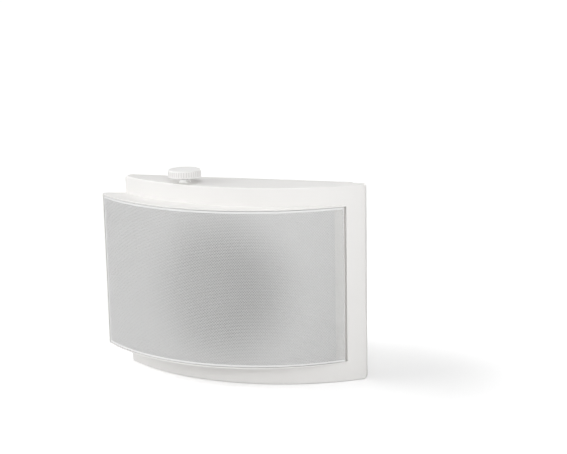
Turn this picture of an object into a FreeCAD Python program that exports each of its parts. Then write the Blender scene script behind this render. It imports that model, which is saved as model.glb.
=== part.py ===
"""Bow-fronted wall speaker with a raised, overhanging grille frame and a rotary level control.

Frame: X runs along the housing, the front faces -Y and Z is up. The back plane of the front housing is
y = 0, its middle is x = 0 and its lower long side is z = 0.
"""
import FreeCAD, Part
import math
import os

# Driving dimensions in millimetres
# Front housing
housing_length = 242.0
housing_height = 190.0
end_thickness = 6.0
bow_rise = 41.0
wall = 2.8
corner_radius = 2.5
edge_radius = 1.2
core_ribs = 3
core_rib_thickness = 1.4

# Raised grille frame
frame_radius = 186.0
frame_centre_x = -15.0
frame_height = 153.2
frame_draft = 4.0
frame_draft_depth = 62.0
frame_flush = 0.3
overhang = 24.0
overhang_back = 4.0
overhang_wall = 2.2
plain_strip = 15.5
rim = 1.3
tip_rim = 2.0
rim_round = 0.5

# Grille
grille_sheet = 0.8
grille_recess = 0.4
grille_groove = 0.5
grille_flange = 3.0
opening_columns = 12
opening_rows = 7
opening_bar = 7.0
opening_margin = 5.0
cloth_thickness = 0.35
cloth_margin = 1.0
cloth_end_x = 90.0
flange_end_x = 72.0
flange_inset = 6.0
ledge_width = 3.0
ledge_gap = 0.1
end_slot = 2.1
end_slot_depth = 3.5
slot_wall = 0.8

# Rear cover
cover_thickness = 4.0
cover_skin = 2.4
cover_setback_plain = 14.0
cover_setback_tip = 2.0
cover_seat = 0.8
cover_border = 7.0
cover_edge_round = 0.8
lip_height = 3.4
lip_thickness = 1.6
lip_clearance = 0.3
boss_radius = 4.0
boss_inset_x = 13.0
boss_inset_z = 11.0
boss_pilot_depth = 8.0
pad_margin = 1.8
pad_drop = 1.2
cover_screw_radius = 1.45
cover_screw_head = 3.4
cover_screw_head_height = 1.9
cover_screw_recess = 1.9
cover_screw_recess_width = 0.85
cover_screw_recess_depth = 1.1
cover_screw_length = 9.0
screw_clearance = 0.2

# Wall fixing
keyhole_spacing = 120.0
keyhole_below_top = 48.0
keyhole_head = 4.75
keyhole_slot = 2.4
keyhole_rise = 9.0

# Terminal cup and block in the rear cover
cup_x = 66.0
cup_width = 40.0
cup_height = 32.0
cup_depth = 12.0
cup_wall = 1.8
block_width = 30.0
block_height = 18.0
block_depth = 9.0
block_chamfer = 0.8
wire_hole = 1.8
wire_hole_depth = 6.0
wire_hole_forward = 1.0
clamp_pitch = 14.0
clamp_screw_radius = 2.0
clamp_screw_length = 5.0
clamp_screw_sink = 0.8
clamp_slot = 0.8
clamp_slot_depth = 0.9

# Driver
driver_x = -10.0
driver_setback = 19.35
seat_ring_depth = 12.0
seat_margin = 3.8
seat_collar = 2.2
flange_radius = 65.0
flange_width = 9.0
flange_thickness = 1.2
gasket_thickness = 1.0
driver_screw_count = 4
driver_screw_start = 45.0
driver_screw_radius = 1.9
driver_screw_head = 3.5
driver_screw_head_height = 2.4
driver_screw_head_round = 1.4
driver_screw_recess = 2.1
driver_screw_recess_width = 0.9
driver_screw_recess_depth = 1.2
driver_screw_length = 11.0
basket_clearance = 4.0
basket_ledge_radius = 36.0
basket_ledge_depth = 13.0
basket_base_radius = 31.0
basket_base_depth = 19.0
basket_window = 28.0
roll_width = 8.0
cone_rim = 3.0
cone_paper = 0.7
cone_wall = 1.0
cone_neck_depth = 10.0
roll_rubber = 0.7
cap_radius = 15.0
cap_rise = 4.5
cap_shell = 0.5
coil_bore = 12.5
former_wall = 0.15
former_front = 9.4
former_length = 19.6
winding_thickness = 0.5
winding_length = 7.0
winding_offset = 0.9
glue_gap = 0.05
spider_cloth = 0.5
spider_waves = 4
spider_wave_height = 1.6
spider_lip = 4.0
pole_gap = 0.3
plate_gap = 0.35
plate_radius = 28.0
plate_thickness = 4.0
magnet_radius = 30.0
magnet_bore = 16.0
magnet_thickness = 9.0
yoke_thickness = 4.0
yoke_chamfer = 1.0
strip_width = 18.0
strip_length = 12.0
strip_thickness = 1.6
tag_width = 3.0
tag_thickness = 0.6
tag_length = 9.0
tag_pitch = 9.0
tag_eye_radius = 0.75
tag_eye_inset = 1.8

# Level control and its knob
control_x = -49.5
control_behind_edge = 12.4
control_radius = 8.5
control_height = 9.0
control_board_width = 10.2
control_board_reach = 10.6
control_board_drop = 3.6
control_board_thickness = 1.8
bush_radius = 3.5
bush_clearance = 0.1
bush_above_nut = 0.6
washer_radius = 6.0
washer_thickness = 0.5
nut_across_flats = 10.0
nut_thickness = 2.2
shaft_radius = 3.0
shaft_clearance = 0.05
shaft_depth = 6.0
shaft_flat = 1.5
knob_radius = 15.75
knob_height = 6.9
knob_gap = 5.7
knob_round = 1.3
knob_flutes = 40
knob_flute_radius = 0.52
knob_flute_depth = 0.45
knob_skirt = 0.9
knob_hub_depth = 5.2

# Worked-out places
half_length = housing_length / 2
mid_z = housing_height / 2
far = 2 * (housing_length + housing_height)
bow_radius = (half_length ** 2 + bow_rise ** 2) / (2 * bow_rise)
bow_centre_y = bow_radius - bow_rise - end_thickness
tip_x = -half_length - overhang
strip_x = half_length - plain_strip
rib_left = strip_x - end_slot - slot_wall
rib_right = max(half_length - cover_setback_plain + cover_seat, strip_x + slot_wall)
driver_z = mid_z
cup_z = mid_z
cutout_radius = flange_radius - flange_width
bolt_circle = (cutout_radius + flange_radius) / 2
basket_lip_radius = cutout_radius - basket_clearance
cone_radius = basket_lip_radius - roll_width
keyhole_z = housing_height - keyhole_below_top


def vec(x, y, z):
    return FreeCAD.Vector(x, y, z)


def block(x0, x1, y0, y1, z0, z1):
    """Box between two corners."""
    return Part.makeBox(x1 - x0, y1 - y0, z1 - z0, vec(x0, y0, z0))


def upright(x, y, radius, z0, z1):
    """Cylinder that stands along Z."""
    return Part.makeCylinder(radius, z1 - z0, vec(x, y, z0), vec(0, 0, 1))


def bored(x, z, radius, y0, y1):
    """Cylinder that lies along Y, from y0 back to y1."""
    return Part.makeCylinder(radius, y1 - y0, vec(x, y0, z), vec(0, 1, 0))


def bow_y(x, inset=0.0):
    """Front of the housing at x, or of a face a given distance behind it."""
    return bow_centre_y - math.sqrt((bow_radius - inset) ** 2 - x ** 2)


frame_reach = math.sqrt(frame_radius ** 2 - (strip_x - frame_centre_x) ** 2)
frame_centre_y = bow_y(strip_x) - frame_flush + frame_reach
seat_forward = frame_radius - frame_centre_y - driver_setback
control_y = bow_y(control_x) + control_behind_edge
pocket_back = -overhang_back - overhang_wall
pocket_half = frame_height / 2 - rim


def frame_ring(inner, outer, z0, z1):
    """Upright ring about the axis of the frame's bow."""
    ring = upright(frame_centre_x, frame_centre_y, outer, z0, z1)
    return ring.cut(upright(frame_centre_x, frame_centre_y, inner, z0, z1))


def bow_cylinder(inset=0.0):
    """Everything behind the housing's bowed front, as a tall cylinder."""
    return upright(0, bow_centre_y, bow_radius - inset, -far, far)


def bow_prism(x0, x1, y_back, inset, z0, z1):
    """Prism with a flat back at y_back and a bowed front."""
    middle = (x0 + x1) / 2
    front = [vec(x, bow_y(x, inset), z0) for x in (x1, middle, x0)]
    outline = Part.makePolygon([front[2], vec(x0, y_back, z0), vec(x1, y_back, z0), front[0]])
    arc = Part.Arc(front[0], front[1], front[2])
    face = Part.Face(Part.Wire(outline.Edges + [arc.toShape()]))
    return face.extrude(vec(0, 0, z1 - z0))


def edges_where(shape, test):
    """Edges whose middle passes a test."""
    found = []
    for edge in shape.Edges:
        if test(edge, edge.valueAt((edge.FirstParameter + edge.LastParameter) / 2)):
            found.append(edge)
    return found


def near(a, b):
    return abs(a - b) < 0.01


def along(edge, direction):
    """True for an edge whose ends lie along a direction from each other."""
    run = edge.Vertexes[-1].Point - edge.Vertexes[0].Point
    return run.Length > 0 and near(abs(run.normalize().dot(direction)), 1.0)


def driver_point(radius, depth):
    """Point beside the driver's axis, at a depth behind its seat."""
    return vec(driver_x + radius, -seat_forward + depth, driver_z)


def turned_face(face):
    return face.revolve(driver_point(0, 0), vec(0, 1, 0), 360)


def turned(profile):
    """Solid turned about the driver's axis from (radius, depth) points."""
    points = [driver_point(radius, depth) for radius, depth in profile]
    return turned_face(Part.Face(Part.makePolygon(points + [points[0]])))


def driver_screw_places():
    places = []
    for index in range(driver_screw_count):
        angle = math.radians(driver_screw_start + 360 * index / driver_screw_count)
        places.append((driver_x + bolt_circle * math.cos(angle), driver_z + bolt_circle * math.sin(angle)))
    return places


def cover_screw_places():
    places = []
    for z in (boss_inset_z, housing_height - boss_inset_z):
        for x in (-half_length + boss_inset_x, driver_x, rib_left - boss_inset_x):
            places.append((x, z))
    return places


def cross(x, z, y0, y1, reach, width):
    """Cross-shaped recess for a screwdriver."""
    level = block(x - reach, x + reach, y0, y1, z - width / 2, z + width / 2)
    return level.fuse(block(x - width / 2, x + width / 2, y0, y1, z - reach, z + reach))


# Front housing: hollow bow, raised frame, grille pocket and driver seat
def housing_body():
    """Bow with rounded ends and a small round along the whole front edge."""
    body = bow_prism(-half_length, half_length, 0, 0, 0, housing_height)
    corners = edges_where(body, lambda edge, p: near(abs(p.x), half_length) and along(edge, vec(0, 1, 0)))
    body = body.makeFillet(corner_radius, corners)
    front = edges_where(body, lambda edge, p: p.y < -end_thickness / 2 and not along(edge, vec(0, 1, 0)))
    return body.makeFillet(edge_radius, front)


def frame_solid():
    """Drafted bow of the frame, from the overhanging tip to the plain strip."""
    spread = frame_draft_depth * math.tan(math.radians(frame_draft))
    half = frame_height / 2
    outer = frame_centre_x + frame_radius
    inner = outer - frame_draft_depth
    points = [vec(inner, frame_centre_y, mid_z - half - spread), vec(outer, frame_centre_y, mid_z - half),
              vec(outer, frame_centre_y, mid_z + half), vec(inner, frame_centre_y, mid_z + half + spread)]
    face = Part.Face(Part.makePolygon(points + [points[0]]))
    ring = face.revolve(vec(frame_centre_x, frame_centre_y, 0), vec(0, 0, 1), 360)
    rims = edges_where(ring, lambda edge, p: near(abs(p.z - mid_z), half))
    ring = ring.makeFillet(rim_round, rims)
    trimmed = ring.common(block(tip_x, strip_x, -far, -overhang_back, -far, far))
    return trimmed.cut(bow_cylinder(wall / 2))


def grille_room(z0, z1):
    """Inside of the frame between two heights, from the tip's rim to the plain strip."""
    return block(tip_x + tip_rim, strip_x, -far, pocket_back, z0, z1)


def grille_pocket():
    return grille_room(mid_z - pocket_half, mid_z + pocket_half).cut(bow_cylinder())


def grille_ledges():
    """Ledges along both long walls of the frame, on which the flanges of the grille stand."""
    front = frame_radius - grille_recess - grille_flange - ledge_gap
    ring = frame_ring(frame_radius - frame_draft_depth, front, 0, housing_height)
    ledges = []
    for side in (-1, 1):
        ends = sorted((mid_z + side * pocket_half, mid_z + side * (pocket_half - ledge_width)))
        ledges.append(ring.common(grille_room(ends[0], ends[1])).cut(bow_cylinder(wall / 2)))
    return ledges


def grille_seat():
    """Room for the sheet itself, which dips into the bow near the plain strip, and the slot at its end."""
    low, high = mid_z - pocket_half, mid_z + pocket_half
    back = frame_radius - grille_recess - grille_sheet - ledge_gap
    ring = frame_ring(back, frame_radius + rim, low, high)
    slot = block(strip_x - end_slot, strip_x, -far, bow_y(strip_x) + end_slot_depth, low, high)
    return ring.common(grille_room(low, high)).fuse(slot)


def end_core():
    """Hollow behind the plain strip, open at the back and stiffened by ribs."""
    core = bow_prism(rib_right, half_length - wall, wall, wall, wall, housing_height - wall)
    for index in range(core_ribs):
        z = housing_height * (index + 1) / (core_ribs + 1)
        core = core.cut(block(rib_right, half_length, -far, wall,
                              z - core_rib_thickness / 2, z + core_rib_thickness / 2))
    return core


def make_front_housing():
    cavity = bow_prism(-half_length + wall, rib_left, wall, wall, wall, housing_height - wall)
    housing = housing_body().cut(cavity).cut(end_core())
    housing = housing.fuse(frame_solid()).cut(grille_pocket())
    inside = bow_prism(-half_length + wall / 2, rib_right, 0, wall / 2, wall / 2, housing_height - wall / 2)
    seat_radius = flange_radius + seat_margin
    seat = bored(driver_x, driver_z, seat_radius + seat_collar, -far, -seat_forward + seat_ring_depth)
    additions = grille_ledges()
    additions.append(seat.common(bow_cylinder(wall / 2)))
    for x, z in cover_screw_places():
        additions.append(bored(x, z, boss_radius, -far, 0).common(inside))
    housing = housing.fuse(additions)
    cuts = [grille_seat(),
            bored(driver_x, driver_z, seat_radius, -far, -seat_forward),
            bored(driver_x, driver_z, cutout_radius, -far, 0),
            upright(control_x, control_y, bush_radius + bush_clearance, housing_height - 2 * wall, far)]
    pilot = driver_screw_length - gasket_thickness - flange_thickness + 2 * screw_clearance
    for x, z in driver_screw_places():
        cuts.append(bored(x, z, driver_screw_radius + glue_gap, -seat_forward, -seat_forward + pilot))
    for x, z in cover_screw_places():
        cuts.append(bored(x, z, cover_screw_radius + glue_gap, -boss_pilot_depth, wall))
    return housing.cut(cuts).removeSplitter()


# Rear cover with its lip, screw holes, keyholes and terminal cup
def keyhole(x):
    """Round for the screw head with a slot that rises from it, through the skin of the cover."""
    y0, y1 = -wall, cover_thickness + wall
    slot_top = keyhole_z + keyhole_rise
    head = bored(x, keyhole_z, keyhole_head, y0, y1)
    slot = block(x - keyhole_slot, x + keyhole_slot, y0, y1, keyhole_z, slot_top)
    return head.fuse([slot, bored(x, slot_top, keyhole_slot, y0, y1)])


def keyhole_places():
    middle = (cover_setback_tip - cover_setback_plain) / 2
    return [middle - keyhole_spacing / 2, middle + keyhole_spacing / 2]


def cover_plate():
    """Flat plate with rounded rear edges, thinned inside a border."""
    left = -half_length + cover_setback_tip
    right = half_length - cover_setback_plain
    plate = block(left, right, 0, cover_thickness, 0, housing_height)
    plate = plate.makeFillet(cover_edge_round, edges_where(plate, lambda edge, p: near(p.y, cover_thickness)))
    inset = wall + cover_border
    return plate.cut(block(-half_length + inset, rib_left - cover_border, -wall, cover_thickness - cover_skin,
                           inset, housing_height - inset))


def cover_lip():
    """Low wall that centres the cover in the housing, kept clear of the bowed front."""
    inset = wall + lip_clearance
    x0, x1 = -half_length + inset, rib_left - lip_clearance
    z0, z1 = inset, housing_height - inset
    lip = block(x0, x1, -lip_height, 0, z0, z1)
    lip = lip.cut(block(x0 + lip_thickness, x1 - lip_thickness, -lip_height, 0,
                        z0 + lip_thickness, z1 - lip_thickness))
    return lip.common(bow_cylinder(wall + lip_clearance))


def cup_block(margin, y0, y1):
    """Box over the terminal cup, with a margin on its four sides."""
    return block(cup_x - cup_width / 2 - margin, cup_x + cup_width / 2 + margin, y0, y1,
                 cup_z - cup_height / 2 - margin, cup_z + cup_height / 2 + margin)


def clamp_places():
    return [cup_x - clamp_pitch / 2, cup_x + clamp_pitch / 2]


def make_rear_cover():
    floor = cover_thickness - cup_depth
    through = cover_thickness + wall
    additions = [cover_lip(), cup_block(cup_wall, floor - cup_wall, cover_thickness - cover_skin)]
    for x, z in cover_screw_places():
        additions.append(bored(x, z, cover_screw_head + pad_margin, 0, cover_thickness - pad_drop))
    cover = cover_plate().fuse(additions)
    cuts = [cup_block(0, floor, through)]
    for x in keyhole_places():
        cuts.append(keyhole(x))
    for x, z in cover_screw_places():
        seat = cover_thickness - cover_screw_head_height
        cuts.append(bored(x, z, cover_screw_radius + screw_clearance, -wall, through))
        cuts.append(bored(x, z, cover_screw_head + screw_clearance, seat, through))
    for x in clamp_places():
        cuts.append(bored(x, cup_z, wire_hole, floor - wall, 0))
    return cover.cut(cuts).removeSplitter()


# Grille: curved openwork sheet with a folded flange along each long edge
def frame_point(radius, angle, z):
    """Point about the frame's axis, at an angle from straight ahead."""
    return vec(frame_centre_x + radius * math.sin(angle), frame_centre_y - radius * math.cos(angle), z)


def frame_sector(inner, outer, start, end, z0, z1):
    """Part of a ring about the frame's axis between two angles."""
    angles = (start, (start + end) / 2, end)
    rims = [[frame_point(radius, angle, z0) for angle in angles] for radius in (inner, outer)]
    edges = [Part.Arc(*points).toShape() for points in rims]
    edges += [Part.makeLine(rims[0][place], rims[1][place]) for place in (0, 2)]
    face = Part.Face(Part.Wire(Part.__sortEdges__(edges)))
    return face.extrude(vec(0, 0, z1 - z0))


def grille_openings(front, left, right, half):
    """Grid of openings, a coarse stand-in for the fine perforation."""
    start, end = [math.asin((x - frame_centre_x) / front) for x in (left, right)]
    bar, margin = opening_bar / front, opening_margin / front
    step = (end - start - 2 * margin + bar) / opening_columns
    rise = (2 * half - 2 * opening_margin + opening_bar) / opening_rows
    openings = []
    for column in range(opening_columns):
        first = start + margin + column * step
        for row in range(opening_rows):
            low = mid_z - half + opening_margin + row * rise
            openings.append(frame_sector(front - 2 * grille_sheet, front + grille_sheet, first, first + step - bar,
                                         low, low + rise - opening_bar))
    return openings


def make_grille():
    half = pocket_half - grille_groove
    front = frame_radius - grille_recess
    left, right = tip_x + tip_rim + grille_groove, strip_x - end_slot
    sheet = frame_ring(front - grille_sheet, front, mid_z - half, mid_z + half)
    sheet = sheet.common(block(left, right, -far, 0, 0, housing_height))
    sheet = sheet.cut(grille_openings(front, left, right, half))
    flanges = []
    for side in (-1, 1):
        ends = sorted((mid_z + side * half, mid_z + side * (half - grille_sheet)))
        flange = frame_ring(front - grille_flange, front - grille_sheet / 2, ends[0], ends[1])
        limit = block(left + flange_inset, flange_end_x, -far, pocket_back - ledge_gap, ends[0], ends[1])
        flanges.append(flange.common(limit).cut(bow_cylinder(-ledge_gap)))
    return sheet.fuse(flanges).removeSplitter()


def make_grille_cloth():
    """Thin dust cloth glued to the back of the sheet, between its flanges."""
    front = frame_radius - grille_recess - grille_sheet - glue_gap
    half = pocket_half - grille_groove - grille_sheet - cloth_margin
    left = tip_x + tip_rim + grille_groove + cloth_margin
    cloth = frame_ring(front - cloth_thickness, front, mid_z - half, mid_z + half)
    cloth = cloth.common(block(left, cloth_end_x, -far, pocket_back - ledge_gap, 0, housing_height))
    return cloth.cut(bow_cylinder(-ledge_gap))


# Level control: body with bush, washer, nut, shaft and knob
nut_base = housing_height + washer_thickness
bush_top = nut_base + nut_thickness + bush_above_nut
knob_base = housing_height + knob_gap
control_top = housing_height - wall


def on_control(radius, z0, z1):
    """Cylinder on the axis of the control."""
    return upright(control_x, control_y, radius, z0, z1)


def make_control_body():
    can = on_control(control_radius, control_top - control_height, control_top)
    board_top = control_top - control_board_drop
    board = block(control_x - control_board_width / 2, control_x + control_board_width / 2,
                  control_y, control_y + control_board_reach, board_top - control_board_thickness, board_top)
    bush = on_control(bush_radius, control_top, bush_top)
    bore = on_control(shaft_radius + shaft_clearance, control_top - shaft_depth, bush_top)
    return can.fuse([board, bush]).cut(bore).removeSplitter()


def make_control_washer():
    washer = on_control(washer_radius, housing_height, nut_base)
    return washer.cut(on_control(bush_radius + bush_clearance, housing_height, nut_base))


def make_control_nut():
    corner = nut_across_flats / 2 / math.cos(math.pi / 6)
    points = []
    for index in range(7):
        angle = index * math.pi / 3
        x, y = control_x + corner * math.cos(angle), control_y + corner * math.sin(angle)
        points.append(vec(x, y, nut_base))
    nut = Part.Face(Part.makePolygon(points)).extrude(vec(0, 0, nut_thickness))
    return nut.cut(on_control(bush_radius + glue_gap, nut_base, nut_base + nut_thickness))


def shaft_flat_room(y0, z0, z1):
    """Box over the side of the shaft that is cut flat."""
    return block(control_x - washer_radius, control_x + washer_radius, y0, control_y + washer_radius, z0, z1)


def make_control_shaft():
    top = knob_base + knob_hub_depth - screw_clearance
    shaft = on_control(shaft_radius, control_top - shaft_depth + screw_clearance, top)
    return shaft.cut(shaft_flat_room(control_y + shaft_flat, knob_base, top))


def make_volume_knob():
    """Low fluted disc with a rounded top edge and a D-shaped blind hole."""
    top = knob_base + knob_height
    knob = on_control(knob_radius, knob_base, top)
    knob = knob.makeFillet(knob_round, edges_where(knob, lambda edge, p: near(p.z, top)))
    cuts = []
    reach = knob_radius + knob_flute_radius - knob_flute_depth
    for index in range(knob_flutes):
        angle = 2 * math.pi * index / knob_flutes
        x, y = control_x + reach * math.cos(angle), control_y + reach * math.sin(angle)
        cuts.append(upright(x, y, knob_flute_radius, knob_base + knob_skirt, top - knob_round))
    hole = on_control(shaft_radius + shaft_clearance, knob_base, knob_base + knob_hub_depth)
    key = shaft_flat_room(control_y + shaft_flat + shaft_clearance, knob_base, knob_base + knob_hub_depth)
    cuts.append(hole.cut(key))
    return knob.cut(cuts)


# Driver
flange_front = -gasket_thickness - flange_thickness
former_outer = coil_bore + former_wall
winding_outer = former_outer + glue_gap + winding_thickness
gap_hole = winding_outer + plate_gap
plate_front = basket_base_depth + flange_thickness
plate_back = plate_front + plate_thickness
magnet_back = plate_back + magnet_thickness
yoke_back = magnet_back + yoke_thickness
cone_front = flange_front + glue_gap


def driver_screw_holes():
    holes = []
    for x, z in driver_screw_places():
        holes.append(bored(x, z, driver_screw_radius + screw_clearance, -far, 0))
    return holes


def make_driver_gasket():
    ring = turned([(cutout_radius, -gasket_thickness), (flange_radius, -gasket_thickness),
                   (flange_radius, 0), (cutout_radius, 0)])
    return ring.cut(driver_screw_holes())


def make_driver_basket():
    """Pressed frame: flange, open cone, ledge for the spider and base ring, with four windows."""
    sheet = flange_thickness
    ledge_back = basket_ledge_depth + sheet
    basket = turned([
        (flange_radius, flange_front), (flange_radius, -gasket_thickness),
        (basket_lip_radius, -gasket_thickness), (basket_ledge_radius, ledge_back),
        (basket_base_radius, ledge_back), (basket_base_radius, plate_front), (gap_hole, plate_front),
        (gap_hole, basket_base_depth), (basket_base_radius - sheet, basket_base_depth),
        (basket_base_radius - sheet, basket_ledge_depth),
        (basket_ledge_radius - sheet / 2, basket_ledge_depth), (basket_lip_radius - sheet, flange_front)])
    y0, y1 = -seat_forward + sheet, -seat_forward + basket_ledge_depth - sheet
    reach, half = basket_lip_radius, basket_window / 2
    cuts = driver_screw_holes()
    cuts.append(block(driver_x - reach, driver_x + reach, y0, y1, driver_z - half, driver_z + half))
    cuts.append(block(driver_x - half, driver_x + half, y0, y1, driver_z - reach, driver_z + reach))
    return basket.cut(cuts)


def make_driver_screws():
    seat = -seat_forward + flange_front
    top = seat - driver_screw_head_height
    screws = []
    for x, z in driver_screw_places():
        head = bored(x, z, driver_screw_head, top, seat)
        head = head.makeFillet(driver_screw_head_round, edges_where(head, lambda edge, p: near(p.y, top)))
        head = head.cut(cross(x, z, top, top + driver_screw_recess_depth,
                              driver_screw_recess, driver_screw_recess_width))
        shank = bored(x, z, driver_screw_radius, seat, seat + driver_screw_length)
        screws.append(shank.fuse(head).removeSplitter())
    return Part.Compound(screws)


def make_surround():
    """Half-roll of rubber between the cone's rim and the front of the flange."""
    land, front = flange_front, flange_front - roll_rubber
    inner, outer = cone_radius, basket_lip_radius
    middle, roll = (inner + outer) / 2, (outer - inner) / 2
    thin = roll - roll_rubber
    corners = [(middle - thin, front), (middle - thin, land), (inner - cone_rim, land),
               (inner - cone_rim, front), (inner, front)]
    far_corners = [(outer, front), (cutout_radius, front), (cutout_radius, land), (middle + thin, land),
                   (middle + thin, front)]
    over = Part.Arc(driver_point(inner, front), driver_point(middle, front - roll),
                    driver_point(outer, front))
    under = Part.Arc(driver_point(middle + thin, front), driver_point(middle, front - thin),
                     driver_point(middle - thin, front))
    edges = []
    for run in (corners, far_corners):
        edges += Part.makePolygon([driver_point(radius, depth) for radius, depth in run]).Edges
    wire = Part.Wire(Part.__sortEdges__(edges + [over.toShape(), under.toShape()]))
    return turned_face(Part.Face(wire))


def cone_depth(radius):
    """Depth of the cone's front face at a radius inside its rim."""
    flat = cone_radius - cone_rim
    share = (flat - radius) / (flat - former_outer)
    return cone_front + (cone_neck_depth - cone_front) * share


def make_cone():
    neck = former_outer + glue_gap
    flat = cone_radius - cone_rim
    return turned([(cone_radius, cone_front), (cone_radius, cone_front + cone_paper),
                   (flat, cone_front + cone_wall), (neck, cone_depth(neck) + cone_wall),
                   (neck, cone_depth(neck)), (flat, cone_front)])


def make_dust_cap():
    """Shallow spherical dome glued to the cone round the neck."""
    edge = cone_depth(cap_radius) - glue_gap
    top = edge - cap_rise
    sphere = (cap_radius ** 2 + cap_rise ** 2) / (2 * cap_rise)
    centre = top + sphere

    def dome(radius):
        """Arc of the dome from its edge to its top."""
        reach = math.sqrt(radius ** 2 - (centre - edge) ** 2)
        bend = centre - math.sqrt(radius ** 2 - reach ** 2 / 4)
        arc = Part.Arc(driver_point(reach, edge), driver_point(reach / 2, bend),
                       driver_point(0, centre - radius))
        return arc.toShape(), driver_point(reach, edge)

    outer, outer_edge = dome(sphere)
    inner, inner_edge = dome(sphere - cap_shell)
    axis = Part.makeLine(driver_point(0, top), driver_point(0, top + cap_shell))
    foot = Part.makeLine(inner_edge, outer_edge)
    return turned_face(Part.Face(Part.Wire(Part.__sortEdges__([outer, axis, inner, foot]))))


def sleeve(inner, outer, front, back):
    """Plain ring or tube about the driver's axis."""
    return turned([(inner, front), (outer, front), (outer, back), (inner, back)])


def make_coil_former():
    return sleeve(coil_bore, former_outer, former_front, former_front + former_length)


def make_voice_coil():
    middle = (plate_front + plate_back) / 2 + winding_offset
    half = winding_length / 2
    return sleeve(former_outer + glue_gap, winding_outer, middle - half, middle + half)


def make_spider():
    """Corrugated cloth disc from the former to the ledge of the basket."""
    inner = former_outer + glue_gap
    outer = basket_base_radius - flange_thickness
    lip = min(outer + spider_lip, basket_ledge_radius - flange_thickness)
    back = basket_ledge_depth - glue_gap
    steps = spider_waves * 2
    rear = []
    for index in range(steps + 1):
        radius = inner + (outer - inner) * index / steps
        depth = back if index % 2 == 0 else back - spider_wave_height
        rear.append((radius, depth))
    rear.append((lip, back))
    front = [(radius, depth - spider_cloth) for radius, depth in reversed(rear)]
    return turned(rear + front)


def make_top_plate():
    return sleeve(gap_hole, plate_radius, plate_front, plate_back)


def make_magnet():
    return sleeve(magnet_bore, magnet_radius, plate_back, magnet_back)


def make_yoke():
    """Back plate and pole piece in one turning."""
    pole = coil_bore - pole_gap
    return turned([(0, plate_front), (pole, plate_front), (pole, magnet_back), (plate_radius, magnet_back),
                   (plate_radius, yoke_back - yoke_chamfer), (plate_radius - yoke_chamfer, yoke_back),
                   (0, yoke_back)])


# Tag strip on the side of the basket, towards the terminal cup
strip_side = driver_x + basket_base_radius + glue_gap
strip_front = -seat_forward + basket_ledge_depth + flange_thickness
strip_back = strip_front + strip_length


def make_tag_strip():
    return block(strip_side, strip_side + strip_thickness, strip_front, strip_back,
                 driver_z - strip_width / 2, driver_z + strip_width / 2)


def make_solder_tags():
    x0 = strip_side + strip_thickness
    y0 = strip_back - tag_length / 2
    tags = []
    for side in (-1, 1):
        z = driver_z + side * tag_pitch / 2
        blade = block(x0, x0 + tag_thickness, y0, y0 + tag_length, z - tag_width / 2, z + tag_width / 2)
        centre = vec(x0, y0 + tag_length - tag_eye_inset, z)
        tags.append(blade.cut(Part.makeCylinder(tag_eye_radius, tag_thickness, centre, vec(1, 0, 0))))
    return Part.Compound(tags)


# Terminal block in the cup, and its clamp screws
block_front = cover_thickness - cup_depth
block_back = block_front + block_depth


def make_terminal_block():
    low = cup_z - block_height / 2
    body = block(cup_x - block_width / 2, cup_x + block_width / 2, block_front, block_back,
                 low, cup_z + block_height / 2)
    body = body.makeChamfer(block_chamfer, edges_where(body, lambda edge, p: near(p.y, block_back)))
    entry_y = (block_front + block_back) / 2 - wire_hole_forward
    cuts = []
    for x in clamp_places():
        cuts.append(bored(x, cup_z, clamp_screw_radius + screw_clearance,
                          block_back - clamp_screw_length, block_back))
        cuts.append(upright(x, entry_y, wire_hole, low, low + wire_hole_depth))
    return body.cut(cuts)


def make_terminal_screws():
    top = block_back - clamp_screw_sink
    screws = []
    for x in clamp_places():
        screw = bored(x, cup_z, clamp_screw_radius, block_back - clamp_screw_length, top)
        slot = block(x - clamp_slot / 2, x + clamp_slot / 2, top - clamp_slot_depth, top,
                     cup_z - clamp_screw_radius, cup_z + clamp_screw_radius)
        screws.append(screw.cut(slot))
    return Part.Compound(screws)


def make_cover_screws():
    seat = cover_thickness - cover_screw_head_height
    top = cover_thickness - screw_clearance
    screws = []
    for x, z in cover_screw_places():
        head = bored(x, z, cover_screw_head, seat, top)
        head = head.cut(cross(x, z, top - cover_screw_recess_depth, top,
                              cover_screw_recess, cover_screw_recess_width))
        shank = bored(x, z, cover_screw_radius, seat - cover_screw_length, seat)
        screws.append(shank.fuse(head).removeSplitter())
    return Part.Compound(screws)


PIECES = {
    "front_housing": make_front_housing,
    "rear_cover": make_rear_cover,
    "grille": make_grille,
    "grille_cloth": make_grille_cloth,
    "volume_knob": make_volume_knob,
    "control_shaft": make_control_shaft,
    "control_body": make_control_body,
    "control_washer": make_control_washer,
    "control_nut": make_control_nut,
    "driver_basket": make_driver_basket,
    "driver_gasket": make_driver_gasket,
    "driver_screws": make_driver_screws,
    "cone": make_cone,
    "dust_cap": make_dust_cap,
    "surround": make_surround,
    "spider": make_spider,
    "coil_former": make_coil_former,
    "voice_coil": make_voice_coil,
    "top_plate": make_top_plate,
    "magnet": make_magnet,
    "yoke": make_yoke,
    "tag_strip": make_tag_strip,
    "solder_tags": make_solder_tags,
    "terminal_block": make_terminal_block,
    "terminal_screws": make_terminal_screws,
    "cover_screws": make_cover_screws,
}

os.makedirs("parts", exist_ok=True)
for name, make in PIECES.items():
    shape = make()
    shape.exportStep("parts/" + name + ".step")
    state = "valid" if shape.isValid() else "NOT VALID"
    print(name, len(shape.Solids), "solids", round(shape.Volume), "mm3", state)
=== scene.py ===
# %% [markdown]
# A white wall speaker lies on its long side on a pale studio floor. Its solids come ready made
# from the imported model: a bow-shaped housing, a raised grille frame that runs out past one end, a
# rear cover, a driver and a level knob. This lesson dresses them. It makes the perforated grille,
# its dust cloth and the two soft rings of the driver as new pieces, and gives every other solid a
# procedural finish.

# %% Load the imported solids
import math

import bmesh
import bpy
from mathutils import Matrix, Vector


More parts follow.
